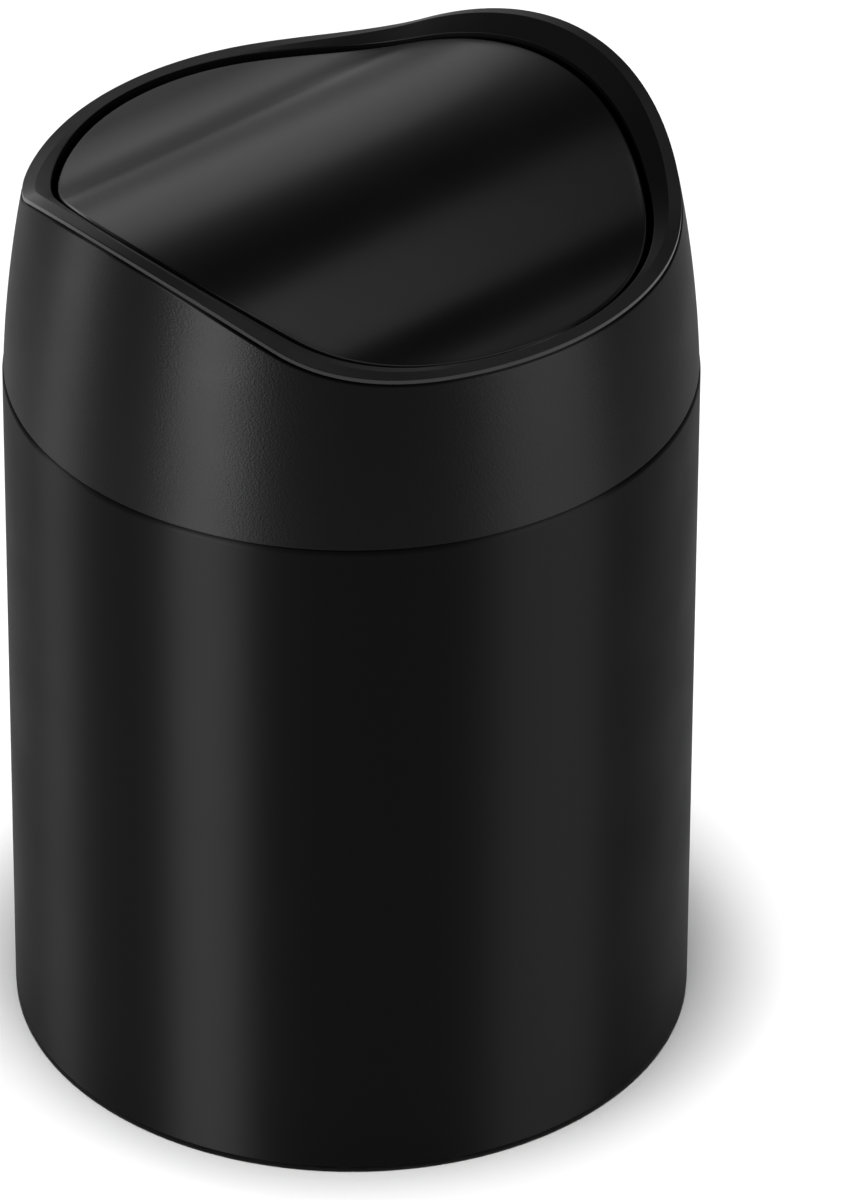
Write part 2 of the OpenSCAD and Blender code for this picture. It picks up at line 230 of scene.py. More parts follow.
def opening_r(angle, grow=0):
    """Radius of the opening's four-arc oval at an angle from the front."""
    a, b = collar_r(RIM_TOP) - SIDE_BAND, collar_r(RIM_LOW) - FRONT_BAND
    end_r = a - END_ARC_SHARE * (b - a)
    side_r = (a ** 2 + b ** 2 - 2 * b * end_r) / (2 * (a - end_r))
    side_x, end_y = side_r - a, b - end_r
    meet = math.atan2(end_y, side_x)
    meet_x, meet_y = (side_r + grow) * math.cos(meet) - side_x, (side_r + grow) * math.sin(meet)
    s, c = np.abs(np.sin(angle)), np.abs(np.cos(angle))
    by_side = np.sqrt((side_r + grow) ** 2 - (side_x * c) ** 2) - side_x * s
    by_end = np.sqrt((end_r + grow) ** 2 - (end_y * s) ** 2) + end_y * c
    return np.where(s * meet_y > c * meet_x, by_side, by_end)


def every_turn(value):
    return np.broadcast_to(np.asarray(value, float), (TURNS,))


def section(*corners):
    """Closed sections round the can. A corner is a radius and a height, and a rounding if it has one."""
    points = [np.stack([every_turn(r), every_turn(z)], axis=1) for r, z, *_ in corners]
    return rounded(np.stack(points, axis=1), [corner[2] if len(corner) == 3 else 0 for corner in corners])


def rounded(sections, radii):
    """Rounds the corners of sections with the given radii. A corner with radius 0 stays as it is."""
    before, after = np.roll(sections, 1, axis=1), np.roll(sections, -1, axis=1)
    loops = []
    for k, radius in enumerate(radii):
        corner = sections[:, k]
        if radius == 0:
            loops.append(corner)
            continue
        to_before, to_after = before[:, k] - corner, after[:, k] - corner
        long_before = np.linalg.norm(to_before, axis=1, keepdims=True)
        long_after = np.linalg.norm(to_after, axis=1, keepdims=True)
        to_before, to_after = to_before / long_before, to_after / long_after
        half = np.arccos(np.clip((to_before * to_after).sum(1, keepdims=True), -1, 1)) / 2
        reach = np.minimum(radius / np.tan(half), 0.48 * np.minimum(long_before, long_after))
        start, end = corner + to_before * reach, corner + to_after * reach
        for t in np.linspace(0, 1, CORNER_STEPS + 1):
            loops.append((1 - t) ** 2 * start + 2 * t * (1 - t) * corner + t ** 2 * end)
    return np.stack(loops, axis=1)


def arc(centre_r, centre_z, radius, start, end, steps):
    """Points of an arc in a section. Its angles are in degrees, 0 outwards and 90 upwards."""
    return [(centre_r + radius * math.cos(t), centre_z + radius * math.sin(t))
            for t in np.radians(np.linspace(start, end, steps))]


def mesh_piece(name, points, faces):
    """A mesh object from points in millimetres above the seam."""
    mesh = bpy.data.meshes.new(name)
    mesh.from_pydata([(x * MM, y * MM, (z + SEAM) * MM) for x, y, z in points], [], faces)
    piece = bpy.data.objects.new(name, mesh)
    bpy.context.scene.collection.objects.link(piece)
    return piece


def points_of(loops):
    """Points of loops round the can, each a pair of radius and height at every step."""
    r = np.stack([every_turn(r) for r, _ in loops])
    z = np.stack([every_turn(z) for _, z in loops])
    return np.stack([r * np.sin(ANGLES), -r * np.cos(ANGLES), z], axis=2).reshape(-1, 3).tolist()


def swept(name, sections):
    """A ring: a closed section carried round the can."""
    n = sections.shape[1]
    points = points_of([(sections[:, j, 0], sections[:, j, 1]) for j in range(n)])
    faces = []
    for j in range(n):
        a, b = j * TURNS, (j + 1) % n * TURNS
        for i in range(TURNS):
            k = (i + 1) % TURNS
            faces.append((a + i, a + k, b + k, b + i))
    return mesh_piece(name, points, faces)


def capped(name, top_z, loops, bottom_z):
    """A solid that meets the can's axis: loops from the middle of its top to the middle of its bottom."""
    n = len(loops)
    points = [(0, 0, float(top_z))] + points_of(loops) + [(0, 0, float(bottom_z))]
    last = len(points) - 1
    faces = []
    for i in range(TURNS):
        k = (i + 1) % TURNS
        faces.append((0, 1 + i, 1 + k))
        for j in range(n - 1):
            a, b = 1 + j * TURNS, 1 + (j + 1) * TURNS
            faces.append((a + i, b + i, b + k, a + k))
        faces.append((last, last - TURNS + k, last - TURNS + i))
    return mesh_piece(name, points, faces)


def prism(name, outline, place, length):
    """A solid with the given outline, carried along the third axis of its place."""
    n = len(outline)
    points = [tuple(place @ Vector((u, v, w))) for w in (0, length) for u, v in outline]
    sides = [(i, (i + 1) % n, (i + 1) % n + n, i + n) for i in range(n)]
    return mesh_piece(name, points, [tuple(range(n))[::-1], tuple(range(n, 2 * n)), *sides])


def circle(r, steps=64):
    return [(r * math.cos(t), r * math.sin(t)) for t in np.arange(steps) * 2 * math.pi / steps]


def turned(name, at, rings, steps):
    """A solid turned about an upright axis, from rings of radius and height, the lowest first."""
    points = [(at[0] + u, at[1] + v, z) for r, z in rings for u, v in circle(r, steps)]
    top = (len(rings) - 1) * steps
    faces = [tuple(range(steps))[::-1], tuple(range(top, top + steps))]
    for a in range(0, top, steps):
        b = a + steps
        faces += [(a + i, a + (i + 1) % steps, b + (i + 1) % steps, b + i) for i in range(steps)]
    return mesh_piece(name, points, faces)


def along_pivot(side, start):
    """Place whose third axis runs outwards along the pivot, its second axis up."""
    turn = Matrix.Rotation(math.radians(90), 4, "Y") @ Matrix.Rotation(math.radians(90), 4, "Z")
    half_turn = Matrix.Rotation(0 if side > 0 else math.pi, 4, "Z")
    return half_turn @ Matrix.Translation((start, 0, AXIS)) @ turn


def pivot_rod(side, r, start, end):
    return prism("tool", circle(r), along_pivot(side, start), end - start)


def post(at, r, low, high):
    return prism("tool", circle(r, 40), Matrix.Translation((*at, low)), high - low)


def countersunk(at, low):
    """The space of a countersunk screw that points up from a height."""
    head = [(SCREW_HEAD_R, low - OVERSHOOT), (SCREW_HEAD_R, low), (SCREW_R, low + SCREW_HEAD_H)]
    return turned("tool", at, [*head, (SCREW_R, low + SCREW_L)], 40)


def combine(piece, operation, *tools):
    """Joins a piece with tools or cuts it with them, which uses the tools up."""
    for tool in tools:
        modifier = piece.modifiers.new("combine", "BOOLEAN")
        modifier.operation = operation
        modifier.solver = "EXACT"
        modifier.object = tool
        bpy.context.view_layer.objects.active = piece
        bpy.ops.object.modifier_apply(modifier=modifier.name)
        bpy.data.objects.remove(tool)
    return piece


def together(first, *others):
    """One tool from several that lie apart."""
    bm = bmesh.new()
    for tool in (first, *others):
        bm.from_mesh(tool.data)
    bm.to_mesh(first.data)
    bm.free()
    for tool in others:
        bpy.data.objects.remove(tool)
    return first


def mark_sharp(piece, degrees=35):
    """Marks the edges at which shading breaks."""
    bm = bmesh.new()
    bm.from_mesh(piece.data)
    for edge in bm.edges:
        edge.smooth = len(edge.link_faces) == 2 and edge.calc_face_angle() < math.radians(degrees)
    bm.to_mesh(piece.data)
    bm.free()
    return piece


def softened(node, width):
    """A copy of a CAD node with its edges rounded."""
    piece = bpy.data.objects.new(node + "_soft", frame["nodes"][node].data.copy())
    bpy.context.scene.collection.objects.link(piece)
    bm = bmesh.new()
    bm.from_mesh(piece.data)
    bmesh.ops.remove_doubles(bm, verts=bm.verts, dist=WELD)
    bmesh.ops.dissolve_limit(bm, angle_limit=math.radians(1), verts=bm.verts, edges=bm.edges)
    bm.to_mesh(piece.data)
    bm.free()
    bevel = piece.modifiers.new("bevel", "BEVEL")
    bevel.width = width * MM
    bevel.segments = 3
    bevel.limit_method = "ANGLE"
    bevel.angle_limit = math.radians(35)
    return piece


def finish_piece(piece, body, slot, mat, *replaced):
    """Shades a piece so that only its rounded corners turn the light, puts it on its body, and hides the
    CAD parts that it stands in for.
    """
    piece.data.polygons.foreach_set("use_smooth", [True] * len(piece.data.polygons))
    piece.data.materials.clear()
    piece.data.materials.append(mat)
    modifier = piece.modifiers.new("shading", "WEIGHTED_NORMAL")
    modifier.weight = 90
    modifier.keep_sharp = True
    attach(piece, body)
    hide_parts(*replaced)
    return piece


def make_body():
    """The steel tube, with its lip turned in below and its hem rolled inwards above."""
    wall_top, low = -HEM_R, BODY_LIFT - SEAM
    hem_x, leg, leg_z = BODY_R - HEM_R, BODY_R - 2 * HEM_R, wall_top - HEM_LEG
    wall = [(BODY_R, z) for z in np.linspace(low, wall_top, 12)[1:-1]]
    hem = arc(hem_x, wall_top, HEM_R, 0, 180, 17)
    hem_inside = arc(hem_x, wall_top, HEM_R - SHEET, 180, 0, 7)
    return swept("body_shell", section(
        (BODY_R - BOTTOM_LIP, low, CUT_EDGE_R), (BODY_R, low, BEND_R), *wall, *hem,
        (leg, leg_z, CUT_EDGE_R), (leg + SHEET, leg_z, CUT_EDGE_R), *hem_inside,
        (BODY_R - SHEET, low + SHEET, INNER_BEND_R), (BODY_R - BOTTOM_LIP, low + SHEET, CUT_EDGE_R)))


def make_floor():
    """The stamped floor, flat across and bent into its skirt."""
    top, low = FLOOR_TOP - SEAM, BODY_LIFT + SHEET - SEAM
    r = BODY_R - SHEET
    bend_r, bend_z = r - FLOOR_BEND_R, top - FLOOR_BEND_R
    loops = [(share * r, top) for share in (0.1, 0.3, 0.5, 0.7, 0.86)]
    loops += arc(bend_r, bend_z, FLOOR_BEND_R, 90, 0, 7)
    loops += [(r, low), (r - SHEET, low)]
    loops += arc(bend_r, bend_z, FLOOR_BEND_R - SHEET, 0, 90, 5)
    loops += [(share * r, top - SHEET) for share in (0.86, 0.5, 0.1)]
    return capped("floor_shell", top, loops, top - SHEET)


def make_base():
    """The foot disc, hollow from below, with a pocket for each pad."""
    low, high = BASE_LOW - SEAM, FLOOR_TOP - SHEET - SEAM
    recess, web = BASE_R - BASE_RIM_W, high - BASE_WEB
    edge, cut = BASE_EDGE_R, 0.3 * BASE_EDGE_R
    loops = [(0.3 * BASE_R, high), (BASE_R - edge, high), (BASE_R - cut, high - cut), (BASE_R, high - edge)]
    loops += arc(BASE_R - edge, low + edge, edge, 0, -90, 6)
    loops += arc(recess + edge, low + edge, edge, -90, -180, 6)
    loops += [(recess, web - edge), (recess - cut, web - cut), (recess - edge, web), (0.3 * recess, web)]
    piece = capped("base_disc", high, loops, web)
    pockets = [post(pad_place(i), PAD_R, low - OVERSHOOT, PAD_TOP - SEAM) for i in range(4)]
    return mark_sharp(combine(piece, "DIFFERENCE", together(*pockets)))


def pad_place(i):
    turn = math.radians(45 + 90 * i)
    r = BASE_R - BASE_RIM_W / 2
    return r * math.cos(turn), r * math.sin(turn)


def make_pad(i):
    """A foot pad with a rounded lower edge."""
    edge = arc(PAD_R - PAD_EDGE_R, PAD_EDGE_R, PAD_EDGE_R, -90, 0, 5)
    rings = [(0.5 * PAD_R, 0), *edge, (PAD_R, PAD_TOP)]
    return mark_sharp(turned(f"pad_{i + 1}", pad_place(i), [(r, z - SEAM) for r, z in rings], 48), 50)


def core(inset, top, rise, reach, drop):
    """The space inside the collar, under a saddle curve: what trims the tabs and bosses."""
    outer = collar_r(np.full(TURNS, float(RIM_LOW))) - inset
    for _ in range(PASSES):
        z = saddle_z(outer * np.cos(ANGLES), top, rise, reach) - drop
        outer = collar_r(z) - inset
    loops = [(share * outer, saddle_z(share * outer * np.cos(ANGLES), top, rise, reach) - drop)
             for share in np.linspace(0.05, 1, 24)]
    levels = [between(z, 0, share) for share in np.linspace(0, 1, 12)[1:]]
    loops += [(collar_r(level) - inset, level) for level in levels]
    return capped("tool", top - drop, loops, 0)


def oval_tool(grow, low, high):
    r = opening_r(ANGLES, grow)
    return capped("tool", high, [(0.5 * r, high), (r, high), (r, low), (0.5 * r, low)], low)


def ring_screw_places():
    angle = math.radians(90 - SCREW_ANGLE)
    r = float(opening_r(np.array([angle]))[0]) + RING_WALL + RING_POST_R - POST_BITE
    return [(x * r * math.sin(angle), y * r * math.cos(angle)) for x in SIDES for y in SIDES]


def collar_section():
    """The collar's wall, its ledge over the seam and its plug."""
    top_r = rim_r(ANGLES, COLLAR_DROP)
    top_z = rim_z(top_r * np.cos(ANGLES)) - COLLAR_DROP
    ledge, plug_in = SEAM_GAP + COLLAR_WALL, PLUG_R - PLUG_WALL
    shares = np.linspace(0, 1, 26)[1:-1]
    outer_z = [between(SEAM_GAP, top_z, share) for share in shares]
    inner_z = [between(ledge, top_z, share) for share in shares[::-2]]
    outer = [(collar_r(z), z) for z in outer_z]
    inner = [(collar_r(z) - COLLAR_WALL, z) for z in inner_z]
    return section(
        (collar_r(SEAM_GAP), SEAM_GAP, 0.4), *outer,
        (top_r, top_z, 0.3), (top_r - COLLAR_WALL, top_z, 0.3), *inner,
        (collar_r(ledge) - COLLAR_WALL, ledge, 0.8), (plug_in, ledge, 0.5),
        (plug_in, -PLUG_DEPTH, 0.4), (PLUG_R, -PLUG_DEPTH, 0.7), (PLUG_R, SEAM_GAP, 0.6))


def tab(x, y, low):
    """A screw tab that reaches from its screw out past the collar's wall."""
    turn = Matrix.Rotation(math.atan2(y, x), 4, "Z")
    reach = BODY_R - math.hypot(x, y)
    outline = [(0, -TAB_R), (reach, -TAB_R), (reach, TAB_R), (0, TAB_R)]
    outline += arc(0, 0, TAB_R, 90, 270, 25)[1:-1]
    return prism("tool", outline, Matrix.Translation((x, y, low)) @ turn, TAB_T)


def screw_tabs():
    """The collar's four tabs under the ring, with their countersunk holes."""
    under = RING_BOTTOM - TAB_T
    tabs = together(*[tab(x, y, under) for x, y in ring_screw_places()])
    holes = together(*[countersunk(at, under) for at in ring_screw_places()])
    combine(tabs, "INTERSECT", core(COLLAR_WALL / 2, RIM_TOP, RIM_RISE, RIM_REACH, COLLAR_DROP))
    return combine(tabs, "DIFFERENCE", oval_tool(RING_WALL + FIT_GAP, under - OVERSHOOT, RIM_TOP), holes)


def make_collar():
    """The textured shell above the seam, with the tabs that hold the ring."""
    piece = swept("collar_shell", collar_section())
    return mark_sharp(combine(piece, "UNION", screw_tabs()))


def rim_section():
    """The ring's lip, its slope down to the opening, and the wall round the opening."""
    outer, inner, c = rim_r(ANGLES), opening_r(ANGLES), np.cos(ANGLES)
    lip_in, wall_out = outer - LIP_W, inner + RING_WALL
    back = np.maximum(wall_out, outer - COLLAR_WALL - LIP_GAP)
    lip_z, edge = rim_z(lip_in * c), edge_z(inner * c)
    slope = [(between(lip_in, inner, t), between(lip_z, edge, t)) for t in (0.33, 0.66)]
    return section(
        (outer, rim_z(outer * c) - LIP_H, 0.2), (outer, rim_z(outer * c), LIP_ROUND), (lip_in, lip_z, 0.3),
        *slope, (inner, edge, 0.25), (inner, RING_BOTTOM, 0.35), (wall_out, RING_BOTTOM, 0.35),
        (wall_out, edge - RING_SKIN, 0.3), (back, rim_z(back * c) - LIP_H, 0.2))


def rim_bosses():
    """The ring's pivot bosses and screw posts, trimmed to the space under its skin."""
    bosses = [combine(pivot_rod(side, BOSS_R, OPENING_A, POCKET_FLOOR + RING_WALL), "UNION",
                      pivot_rod(side, SLEEVE_R, OPENING_A + SLEEVE_INSET, BUSH_END)) for side in SIDES]
    posts = [post(at, RING_POST_R, RING_BOTTOM + POST_INSET, RIM_TOP) for at in ring_screw_places()]
    space = core(COLLAR_WALL + FIT_GAP, EDGE_TOP, LID_RISE, LID_REACH, RING_EDGE_R)
    return combine(together(*bosses, *posts), "INTERSECT", space)


def pocket_outline():
    """The room that a stop tab swings through: wide below the axis, and the bush's flange above it."""
    half_width = STOP_W / 2 + STOP_GAP
    outline = []
    for t in np.radians(np.arange(-180, 180, 2.5)):
        past = abs(t) - math.radians(SWING)
        reach = POCKET_R if past <= 0 else half_width / math.sin(min(past, math.pi / 2))
        r = max(FLANGE_R + STOP_GAP / 2, min(POCKET_R, reach))
        outline.append((r * math.sin(t), -r * math.cos(t)))
    return outline


def rim_holes():
    """The ring's screw holes and the pockets of the lid's stop tabs."""
    screw_end = RING_BOTTOM - TAB_T + SCREW_L
    screws = [post(at, SCREW_R, RING_BOTTOM - OVERSHOOT, screw_end) for at in ring_screw_places()]
    outline, depth = pocket_outline(), POCKET_FLOOR - OPENING_A + OVERSHOOT
    pockets = [prism("tool", outline, along_pivot(side, OPENING_A - OVERSHOOT), depth) for side in SIDES]
    return together(*screws, *pockets)


def make_rim():
    """The smooth ring on the collar, with the seats of the bushes."""
    piece = combine(swept("rim_shell", rim_section()), "UNION", rim_bosses())
    bores = [pivot_rod(side, BUSH_R, OPENING_A, BUSH_END + OVERSHOOT) for side in SIDES]
    return mark_sharp(combine(piece, "DIFFERENCE", rim_holes(), together(*bores)))


def lid_screw_places():
    return [(x * POST_X, y * POST_Y) for x in SIDES for y in SIDES]


def lid_skin():
    """The lid's top, rounded edge and side wall, as one shell that is open below."""
    side_r, c = opening_r(ANGLES, -LID_GAP), np.cos(ANGLES)
    shoulder, inner = side_r - LID_EDGE_R, side_r - LID_WALL
    loops = [(share * shoulder, lid_z(share * shoulder * c)) for share in np.linspace(0.02, 1, 48)]
    loops += arc(shoulder, lid_z(shoulder * c) - LID_EDGE_R, LID_EDGE_R, 90, 0, 9)[1:]
    side_z = loops[-1][1]
    foot, cut = LID_FOOT_R, LID_FOOT_R / 3
    loops += [(side_r, between(side_z, LID_BOTTOM + foot, t)) for t in (0.33, 0.66, 1)]
    loops += [(side_r - cut, LID_BOTTOM + cut), (side_r - foot, LID_BOTTOM), (inner + foot, LID_BOTTOM),
              (inner + cut, LID_BOTTOM + cut), (inner, LID_BOTTOM + foot)]
    loops += [(share * inner, lid_z(share * inner * c) - LID_WALL)
              for share in (1, 0.8, 0.6, 0.4, 0.2, 0.02)]
    return capped("lid_skin", lid_z(0), loops, float(lid_z(0)) - LID_WALL)


def lid_inside():
    """The space inside the lid, grown a little into its walls so that what stands there joins them."""
    bite, low = 0.05, LID_BOTTOM + 0.4
    r, c = opening_r(ANGLES, -LID_GAP - LID_WALL + bite), np.cos(ANGLES)
    loops = [(share * r, lid_z(share * r * c) - LID_WALL + bite) for share in np.linspace(0.05, 1, 20)]
    loops += [(r, low), (0.5 * r, low)]
    return capped("tool", float(lid_z(0)) - LID_WALL + bite, loops, low)


def lid_posts():
    """The screw posts and pin bosses inside the lid."""
    posts = [post(at, LID_POST_R, PLATE_TOP, LID_TOP) for at in lid_screw_places()]
    start = LID_A - PIN_GRIP - PIN_BOSS_FLOOR
    bosses = [pivot_rod(side, PIN_BOSS_R, start, LID_A) for side in SIDES]
    return combine(together(*posts, *bosses), "INTERSECT", lid_inside())


def lid_ends():
    """What stands out of the lid at each pivot: a thrust face and a stop tab."""
    thrusts = [pivot_rod(side, THRUST_R, LID_A - LID_WALL, THRUST_X) for side in SIDES]
    low, high = -STOP_R, -FLANGE_R - STOP_GAP
    outline = [(-STOP_W / 2, low), (STOP_W / 2, low), (STOP_W / 2, high), (-STOP_W / 2, high)]
    stops = [prism("tool", outline, along_pivot(side, LID_A - LID_WALL), STOP_L) for side in SIDES]
    return together(*thrusts, *stops)


def make_lid():
    """The lid's skin, with all that it holds and is held by."""
    piece = combine(lid_skin(), "UNION", lid_posts(), lid_ends())
    holes = [post(at, SCREW_R, LID_BOTTOM - OVERSHOOT, LID_BOTTOM + SCREW_L) for at in lid_screw_places()]
    holes += [pivot_rod(side, PIN_R, LID_A - PIN_GRIP, THRUST_X + OVERSHOOT) for side in SIDES]
    return mark_sharp(combine(piece, "DIFFERENCE", together(*holes)))


def shader_of(mat):
    return mat.node_tree.nodes["Principled BSDF"]


def material(name, colour, roughness, level=0.5, metallic=0.0):
    """A material whose shader has the given constants."""
    mat = bpy.data.materials.new(name)
    mat.use_nodes = True
    shader = shader_of(mat)
    shader.inputs["Base Color"].default_value = (*colour, 1)
    shader.inputs["Roughness"].default_value = roughness
    shader.inputs["Metallic"].default_value = metallic
    shader.inputs["Specular IOR Level"].default_value = level
    return mat


def node(mat, kind, inputs=(), **settings):
    """Adds a node to a material or world. An input is a socket to link or a value to set."""
    new = mat.node_tree.nodes.new("ShaderNode" + kind)
    for key, value in settings.items():
        setattr(new, key, value)
    for key, value in dict(inputs).items():
        if isinstance(value, bpy.types.NodeSocket):
            mat.node_tree.links.new(value, new.inputs[key])
        else:
            new.inputs[key].default_value = value
    return new


def to_shader(mat, name, socket):
    mat.node_tree.links.new(socket, shader_of(mat).inputs[name])


def maths(mat, operation, first, second):
    return node(mat, "Math", {0: first, 1: second}, operation=operation).outputs[0]


def remap(mat, value, start, end, low=0, high=1, kind="LINEAR"):
    """A value that goes from low to high while another goes from start to end."""
    inputs = {"Value": value, "From Min": start, "From Max": end, "To Min": low, "To Max": high}
    return node(mat, "MapRange", inputs, interpolation_type=kind).outputs["Result"]


def ramp(mat, value, start, end):
    """A smooth step from 0 to 1."""
    return remap(mat, value, start, end, kind="SMOOTHSTEP")


def spread(mat, fac, low, high):
    """Noise, which lies mostly between 0.3 and 0.7, as a number between two values."""
    return remap(mat, fac, 0.3, 0.7, low, high)


def object_place(mat, size, stretch=(1, 1, 1)):
    """The object's own coordinates, in units of a size in millimetres."""
    coords = node(mat, "TexCoord").outputs["Object"]
    scale = [s / (size * MM) for s in stretch]
    return node(mat, "Mapping", {"Vector": coords, "Scale": scale}).outputs["Vector"]


def grain(mat, size, detail=2.0, stretch=(1, 1, 1)):
    """Noise with features of about the given size in millimetres."""
    inputs = {"Vector": object_place(mat, size, stretch), "Scale": 1, "Detail": detail}
    return node(mat, "TexNoise", inputs).outputs["Fac"]


def tinted(colour, factor):
    """A lighter or darker colour, as a shader takes it."""
    return (*[c * factor for c in colour], 1)


def blend_colours(mat, fac, first, second):
    """A blend of two colours, which are the Mix node's sockets 6 and 7."""
    return node(mat, "Mix", {"Factor": fac, 6: first, 7: second}, data_type="RGBA").outputs[2]


def worn_edges(mat, colour, worn, amount):
    """Outer edges, polished by handling, take a little of another colour."""
    pointed = node(mat, "NewGeometry").outputs["Pointiness"]
    return blend_colours(mat, remap(mat, pointed, 0.52, 0.6, 0, amount), colour, worn)


def bumped(mat, height, depth):
    """Bump whose full height is the given depth in millimetres."""
    bump = node(mat, "Bump", {"Height": height, "Distance": depth * MM, "Strength": 1})
    to_shader(mat, "Normal", bump.outputs["Normal"])


def finished(mat, relief, depth, uneven=0.15, wear=0.3, patch_mm=18):
    """Gives a material its relief, its uneven colour and sheen, and its worn edges."""
    colour = shader_of(mat).inputs["Base Color"].default_value[:3]
    roughness = shader_of(mat).inputs["Roughness"].default_value
    patches = grain(mat, patch_mm, 3)
    tint = blend_colours(mat, patches, tinted(colour, 1 - uneven), tinted(colour, 1 + uneven))
    to_shader(mat, "Base Color", worn_edges(mat, tint, tinted(colour, 1.8), wear))
    smoother, rougher = roughness * (1 - uneven / 3), roughness * (1 + uneven / 3)
    to_shader(mat, "Roughness", spread(mat, patches, smoother, rougher))
    bumped(mat, relief, depth)
    return mat


def upright_sheen(mat, anisotropy):
    """Stretches the highlights of an upright round wall along its height."""
    shader_of(mat).inputs["Anisotropic"].default_value = anisotropy
    shader_of(mat).inputs["Anisotropic Rotation"].default_value = 0.25
    to_shader(mat, "Tangent", node(mat, "Tangent", direction_type="RADIAL", axis="Z").outputs["Tangent"])
    return mat


def body_paint():
    """Smooth satin black paint."""
    mat = upright_sheen(material("body_paint", [0.001, 0.001, 0.0011], 0.48, 0.05), 0.97)
    return finished(mat, grain(mat, 0.5), 0.0006)


def collar_plastic():
    """Black moulding with a fine sparked texture: small flat grains with soft valleys between."""
    mat = upright_sheen(material("collar_plastic", [0.0012, 0.0012, 0.0013], 0.5, 0.09), 0.93)
    cells = node(mat, "TexVoronoi", {"Vector": object_place(mat, 0.45), "Scale": 1}, feature="F1")
    height = maths(mat, "ADD", grain(mat, 0.38, 1.5), cells.outputs["Distance"])
    return finished(mat, height, 0.014)


def rim_plastic():
    mat = material("rim_plastic", [0.0015, 0.0015, 0.0016], 0.42)
    return finished(mat, grain(mat, 0.6), 0.0015)


def lid_plastic():
    mat = material("lid_plastic", [0.0015, 0.0015, 0.0016], 0.23)
    return finished(mat, grain(mat, 0.5), 0.0015)


def inner_plastic():
    mat = material("inner_plastic", [0.008, 0.008, 0.0085], 0.5)
    return finished(mat, grain(mat, 0.4), 0.006)


def foot_rubber():
    mat = material("foot_rubber", [0.012, 0.012, 0.012], 0.8, 0.3)
    return finished(mat, grain(mat, 0.3), 0.01)


def floor_paint():
    mat = material("floor_paint", [0.006, 0.006, 0.0063], 0.45)
    return finished(mat, grain(mat, 0.7), 0.004)


def bush_plastic():
    """Natural acetal, evenly coloured and hardly worn."""
    mat = material("bush_plastic", [0.8, 0.79, 0.75], 0.42)
    return finished(mat, grain(mat, 0.4), 0.002, uneven=0.04, wear=0.1)


def bare_steel(name, grey, stretch):
    """Plated or ground steel, whose grain is stretched along the marks of its making."""
    mat = material(name, [grey, grey, grey * 1.02], 0.3, 0.5, 1.0)
    return finished(mat, grain(mat, 0.25, 2, stretch), 0.004, uneven=0.12, wear=0.2, patch_mm=3)


def screw_steel():
    return bare_steel("screw_steel", 0.6, (1, 1, 1))


def pin_steel():
    return bare_steel("pin_steel", 0.65, (0.2, 1, 1))


def weight_steel():
    return bare_steel("weight_steel", 0.5, (0.05, 1, 1))


def direction(azimuth, elevation):
    """Unit vector from the can. Azimuth 0 is the front, 90 the right side."""
    a, e = math.radians(azimuth), math.radians(elevation)
    return Vector((math.sin(a) * math.cos(e), -math.cos(a) * math.cos(e), math.sin(e)))


def turn_from(way):
    """Rotation of a lamp or camera that looks back along a direction."""
    return way.to_track_quat("Z", "Y").to_euler()


def camera():
    """The photograph's camera: 1.95 m away, with a long lens."""
    data = bpy.data.cameras.new("camera")
    data.lens = 300.5
    data.sensor_width = 36
    data.shift_x = 0.0579
    data.clip_end = 50
    cam = bpy.data.objects.new("camera", data)
    bpy.context.scene.collection.objects.link(cam)
    cam.location = CAMERA_PLACE
    cam.rotation_euler = turn_from(direction(CAMERA_AZIMUTH, CAMERA_ELEVATION))
    bpy.context.scene.camera = cam


def softbox(name, azimuth, elevation, wide, high, radiance, distance=1.8):
    """A soft box at a distance in metres, whose width and height are angles as seen from the can."""
    data = bpy.data.lights.new(name, "AREA")
    data.shape = "RECTANGLE"
    data.size = 2 * distance * math.tan(math.radians(wide) / 2)
    data.size_y = 2 * distance * math.tan(math.radians(high) / 2)
    data.energy = radiance * math.pi * data.size * data.size_y
    lamp = bpy.data.objects.new(name, data)
    bpy.context.scene.collection.objects.link(lamp)
    way = direction(azimuth, elevation)
    lamp.location = way * distance + Vector((0, 0, LIGHT_CENTRE))
    lamp.rotation_euler = turn_from(way)
    lamp.visible_camera = False
    return lamp


def light_only(lamps, objects):
    """Keeps the light of some lamps to some objects."""
    group = bpy.data.collections.new(lamps[0].name + "_lights")
    for obj in objects:
        group.objects.link(obj)
    for lamp in lamps:
        lamp.light_linking.receiver_collection = group


def floor_white():
    """White that keeps shadows. What sees it also sees a faint glow, which is taken away under the can and
    fades in round its foot as painted shade.
    """
    mat = material("studio_floor", [0.8, 0.8, 0.8], 1.0, 0.0)
    paths = node(mat, "LightPath").outputs
    seen = maths(mat, "MAXIMUM", paths["Is Camera Ray"], paths["Is Glossy Ray"])
    seen = maths(mat, "MAXIMUM", seen, paths["Is Transmission Ray"])
    place = node(mat, "TexCoord").outputs["Object"]
    from_axis = node(mat, "VectorMath", {0: place}, operation="LENGTH").outputs["Value"]
    # Painted shade round the can's foot: the glow fades out towards the can and is gone under it
    beside = maths(mat, "MULTIPLY", seen, ramp(mat, from_axis, PAINTED_SHADE_INNER, PAINTED_SHADE_OUTER))
    shader_of(mat).inputs["Emission Color"].default_value = (1, 1, 1, 1)
    to_shader(mat, "Emission Strength", maths(mat, "MULTIPLY", beside, FLOOR_GLOW))
    return mat


def studio_floor():
    """A wide round floor."""
    bm = bmesh.new()
    bmesh.ops.create_circle(bm, cap_ends=True, segments=96, radius=FLOOR_RADIUS)
    mesh = bpy.data.meshes.new("studio_floor")
    bm.to_mesh(mesh)
    bm.free()
    mesh.materials.append(floor_white())
    floor = bpy.data.objects.new("studio_floor", mesh)
    bpy.context.scene.collection.objects.link(floor)
    return floor


